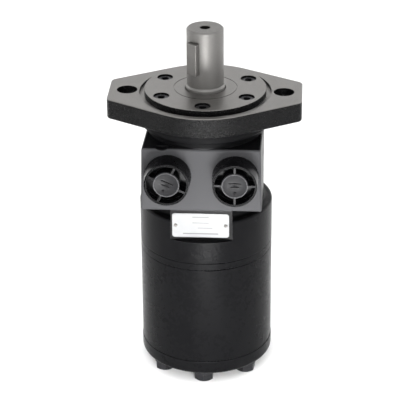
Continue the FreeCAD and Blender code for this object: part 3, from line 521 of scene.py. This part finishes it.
def plug_detail(side):
    """A raised lip round the hub, a dished face with plain moulded fields, and a bead on the rim; the lip
    and the bead are lighter grey, a painted highlight.
    """
    low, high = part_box(f"port_plug_{side}")
    middle = (low + high) / 2.0
    hub_y = low.y + PLUG_HUB_SINK
    body = f"plug_{side}"
    place = facing_front(middle.x, hub_y, middle.z, PLUG_TURN[side])
    lip = [(PLUG_HUB_R - 1.10 * MM, -0.1 * MM), (PLUG_HUB_R - 0.02 * MM, -0.1 * MM),
           (PLUG_HUB_R - 0.05 * MM, 1.15 * MM), (PLUG_HUB_R - 0.25 * MM, 1.4 * MM),
           (PLUG_HUB_R - 0.55 * MM, 1.4 * MM), (PLUG_HUB_R - 0.80 * MM, 1.15 * MM)]
    # The lip is lighter grey: a painted highlight.
    piece(f"plug_{side}_hub_lip", lathe_mesh("hub_lip", lip, place), "plug_rim", body)
    bowl = [(r * MM, (0.05 + DISH_RISE * (r / DISH_R) ** 2) * MM)
            for r in (0.05, 0.1, 1.5, 3.0, 4.5, 6.0, 7.0, 7.95, DISH_R)]
    dish = bowl + [(DISH_R * MM, -0.1 * MM), (0.05 * MM, -0.1 * MM)]
    piece(f"plug_{side}_hub_face", lathe_mesh("hub_face", dish, place), "plug_face", body)
    for row, (half_long, offset) in enumerate(((4.4, 1.2), (3.0, -1.4))):
        bar_place = place @ Matrix.Translation((0.0, offset * MM, 0.0))
        bar = rounded_bar("hub_field", half_long * MM, 0.50 * MM, 0.75 * MM, bar_place, 0.4 * MM)
        piece(f"plug_{side}_field_{row + 1}", bar, "plug", body, smooth=False)
    stub = [(0.1 * MM, 0.0), (0.9 * MM, 0.0), (0.8 * MM, 0.9 * MM), (0.1 * MM, 0.95 * MM)]
    gate = lathe_mesh("gate_mark", stub, place @ Matrix.Translation((0.0, -5.2 * MM, 0.0)), 24)
    piece(f"plug_{side}_gate_mark", gate, "plug", body)
    # The rim bead is lighter grey: a painted highlight.
    rim_place = facing_front(middle.x, low.y, middle.z)
    rim = [(PLUG_RIM_R - 1.25 * MM, -0.7 * MM), (PLUG_RIM_R + 0.02 * MM, -0.7 * MM),
           (PLUG_RIM_R - 0.05 * MM, -0.25 * MM), (PLUG_RIM_R - 0.35 * MM, 0.0),
           (PLUG_RIM_R - 0.95 * MM, 0.0), (PLUG_RIM_R - 1.28 * MM, -0.3 * MM)]
    piece(f"plug_{side}_rim", lathe_mesh("plug_rim", rim, rim_place), "plug_rim", body)


def plate_print():
    """Plain printed fields: a frame line, one broad bar and two thin rules, with no lettering."""
    low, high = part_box("name_plate")
    middle = (low + high) / 2.0
    thick = 0.03 * MM
    rows = ((5.6, 0.28, 6.2, 0.0), (5.6, 0.22, 1.9, 0.0), (5.0, 0.22, -1.9, 3.0), (12.0, 0.45, -6.2, 0.0))
    for i, (half_long, half_tall, up, side) in enumerate(rows):
        place = facing_front(middle.x + side * MM, low.y, middle.z + up * MM)
        bar = rounded_bar("print_bar", half_long * MM, half_tall * MM, thick, place, 0.15 * MM)
        piece(f"plate_print_{i + 1}", bar, "ink", "motor_body", smooth=False)


END_THREAD_PITCH = 1.27 * MM
END_THREAD_DEPTH = 0.35 * MM
PORT_THREAD_PITCH = 1.814 * MM
PORT_THREAD_DEPTH = 0.55 * MM
THREAD_LIFT = 0.02 * MM


def threads():
    """The thread inside the shaft's end hole and inside each port."""
    hole = MOUNTS["shaft_end_thread"]
    radius = hole["dims"]["r_mm"] * MM
    length = hole["dims"]["length_mm"] * MM
    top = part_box("output_shaft")[1].z - 0.9 * MM
    mesh = helix_mesh("end_thread", radius + THREAD_LIFT, END_THREAD_DEPTH, END_THREAD_PITCH,
                      length - 1.0 * MM, Matrix.Translation((0, 0, top - length + 1.0 * MM)))
    piece("shaft_end_thread", mesh, "shaft", "shaft_assembly")
    for side in PLUG_SIDES:
        port = MOUNTS[f"port_{side}"]
        x, y, z = port["pos_m"]
        back = y + port["dims"]["length_mm"] * MM / 2.0
        mesh = helix_mesh("port_thread", port["dims"]["r_mm"] * MM + THREAD_LIFT, PORT_THREAD_DEPTH,
                          PORT_THREAD_PITCH, (port["dims"]["length_mm"] - 1.6) * MM,
                          facing_front(x, back - 0.8 * MM, z))
        piece(f"port_{side}_thread", mesh, "key", "motor_body")


finish_nodes()
for plug_side in PLUG_SIDES:
    plug_detail(plug_side)
plate_print()
threads()


# ---- Studio ------------------------------------------------------------------------------------
def aim(obj, target):
    obj.rotation_euler = (Vector(target) - obj.location).to_track_quat("-Z", "Y").to_euler()


def soft_box(name, place, target, width, height, power):
    light = bpy.data.lights.new(name, "AREA")
    light.shape = "RECTANGLE"
    light.size, light.size_y = width, height
    light.energy = power
    obj = bpy.data.objects.new(name, light)
    obj.visible_camera = False
    obj.location = place
    bpy.context.scene.collection.objects.link(obj)
    aim(obj, target)


STAGE_FLAT_R = 2.0
STAGE_CURVE_R = 1.0
STAGE_WALL_TOP = 2.4
STAGE_GLOW = 0.35
STAGE_GLOW_START_R = 1.2


def floor():
    """A round floor that sweeps up into a plain wall; the far wall glows faintly, as a lit backdrop does."""
    material = new_material("floor_finish", Roughness=0.9, Specular_IOR_Level=0.1)
    tree = material.node_tree
    here = position(tree)
    haze = noise(tree, here, 0.6, 2.0)
    glow = remap(tree, from_axis(tree, here), STAGE_GLOW_START_R, STAGE_FLAT_R + 0.5 * STAGE_CURVE_R,
                 0.0, STAGE_GLOW)
    connect(material, Base_Color=blend_colours(tree, haze, (0.93, 0.93, 0.93), (0.95, 0.95, 0.95)),
            Emission_Strength=glow)
    levels = [(STAGE_FLAT_R + STAGE_CURVE_R * math.sin(math.radians(a)),
               FLOOR_Z + STAGE_CURVE_R * (1.0 - math.cos(math.radians(a)))) for a in range(0, 91, 6)]
    levels.append((STAGE_FLAT_R + STAGE_CURVE_R, FLOOR_Z + STAGE_WALL_TOP))
    steps = 96
    turns = [2.0 * math.pi * i / steps for i in range(steps)]
    verts = [(radius * math.cos(turn), radius * math.sin(turn), z) for radius, z in levels for turn in turns]
    faces = [tuple(range(steps))]
    for level in range(len(levels) - 1):
        for i in range(steps):
            j = (i + 1) % steps
            low, high = level * steps, (level + 1) * steps
            faces.append((low + i, high + i, high + j, low + j))
    mesh = mesh_from("floor", verts, faces)
    mesh.materials.append(material)
    for polygon in mesh.polygons:
        polygon.use_smooth = True
    obj = bpy.data.objects.new("floor", mesh)
    bpy.context.scene.collection.objects.link(obj)


WORLD_STRENGTH = 0.42
MIDDLE = (0.0, 0.0, -0.08)

# Name, place, what it points at, width, height and power in watts.
LIGHTS = (
    ("overhead", (0.1, 0.15, 1.7), MIDDLE, 2.6, 2.2, 26.0),
    ("front_high", (-0.35, -1.5, 1.3), MIDDLE, 0.9, 0.7, 10.0),
    ("low_front", (0.02, -0.26, -0.15), (0.0, 0.0, -0.05), 0.11, 0.07, 0.95),
    ("front_right", (0.60, -0.80, 0.10), (0.0, 0.0, 0.02), 0.50, 0.35, 0.9),
    ("left_strip", (-0.85, 0.55, 0.05), MIDDLE, 0.35, 0.9, 2.2),
    ("right_strip", (0.85, 0.55, 0.05), MIDDLE, 0.35, 0.9, 2.2),
)


def studio():
    world = bpy.data.worlds.new("studio")
    bpy.context.scene.world = world
    world.use_nodes = True
    background = world.node_tree.nodes["Background"]
    background.inputs["Color"].default_value = (1.0, 1.0, 1.0, 1.0)
    background.inputs["Strength"].default_value = WORLD_STRENGTH
    for light in LIGHTS:
        soft_box(*light)


def camera():
    data = bpy.data.cameras.new("camera")
    data.sensor_width = 36.0
    data.lens = CAMERA_LENS
    data.shift_x, data.shift_y = CAMERA_SHIFT
    obj = bpy.data.objects.new("camera", data)
    bpy.context.scene.collection.objects.link(obj)
    turn = Matrix.Rotation(CAMERA_TURN, 4, "Z") @ Matrix.Rotation(math.pi / 2.0 - CAMERA_DOWN, 4, "X")
    obj.matrix_world = Matrix.Translation(CAMERA_PLACE) @ turn @ Matrix.Rotation(CAMERA_ROLL, 4, "Z")
    bpy.context.scene.camera = obj


floor()
studio()
camera()
bpy.context.scene.view_settings.view_transform = "Standard"
